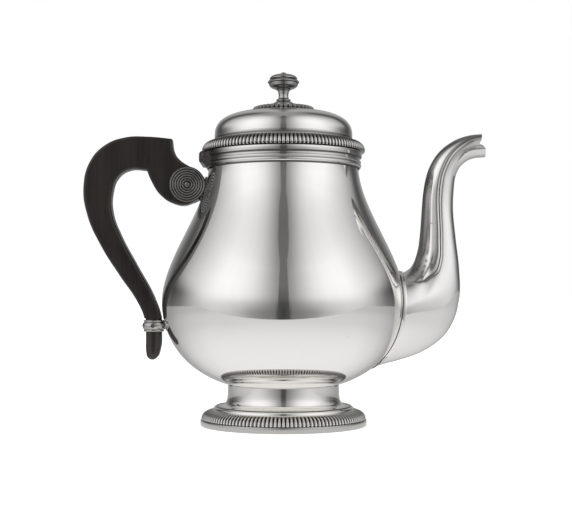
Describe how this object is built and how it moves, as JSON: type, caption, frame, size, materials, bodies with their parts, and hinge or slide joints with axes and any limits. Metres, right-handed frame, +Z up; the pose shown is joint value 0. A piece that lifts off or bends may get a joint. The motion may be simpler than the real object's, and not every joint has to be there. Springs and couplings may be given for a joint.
{
  "type": "coffee pot",
  "caption": "Pear-shaped silver pot on a spool foot, with a hinged domed lid and finial, a creased S-shaped spout and a dark wooden scroll handle on silver mounts.",
  "frame": {"origin": "on the body's vertical axis, in the plane the foot stands on", "axes": "+Z up along the body's axis, +X towards the spout, -X towards the handle, +Y away from a viewer who has the spout on the right"},
  "size_m": [0.2274, 0.1374, 0.2],
  "materials": {
    "polished_silver": "mirror-polished silver with fine cleaning scratches",
    "chased_silver": "bright silver ornament with darkened recesses",
    "silver_fittings": "satin silver, lightly tarnished",
    "dark_wood": "near-black hardwood, satin, faint grain"
  },
  "bodies": {
    "pot": {"body_shell": "polished_silver", "foot_pedestal": "polished_silver", "foot_base_band": "polished_silver", "spout": "polished_silver", "spout_flange": "polished_silver", "neck_moulding": "polished_silver", "handle_lower_ferrule": "polished_silver", "handle_upper_mount": "polished_silver", "foot_gadroon_rim": "chased_silver", "roundel_front": "chased_silver", "roundel_back": "chased_silver", "hinge_body_leaf": "silver_fittings", "hinge_pin": "silver_fittings", "handle_upper_pin": "silver_fittings", "handle_lower_pin": "silver_fittings", "handle": "dark_wood"},
    "lid": {"hinge_lid_leaf": "silver_fittings", "lid_dome": "polished_silver", "lid_gadroon_rim": "chased_silver", "lid_bezel": "polished_silver", "finial_rosette": "chased_silver", "finial_knop": "polished_silver", "finial_cap": "polished_silver", "finial_stud": "silver_fittings", "finial_washer": "silver_fittings", "finial_nut": "silver_fittings"}
  },
  "joints": [
    {"name": "lid_hinge", "type": "hinge", "parent": "pot", "child": "lid", "pos_m": [-0.0448, 0, 0.1514], "axis": [0, -1, 0], "range_deg": [0, 78]}
  ]
}
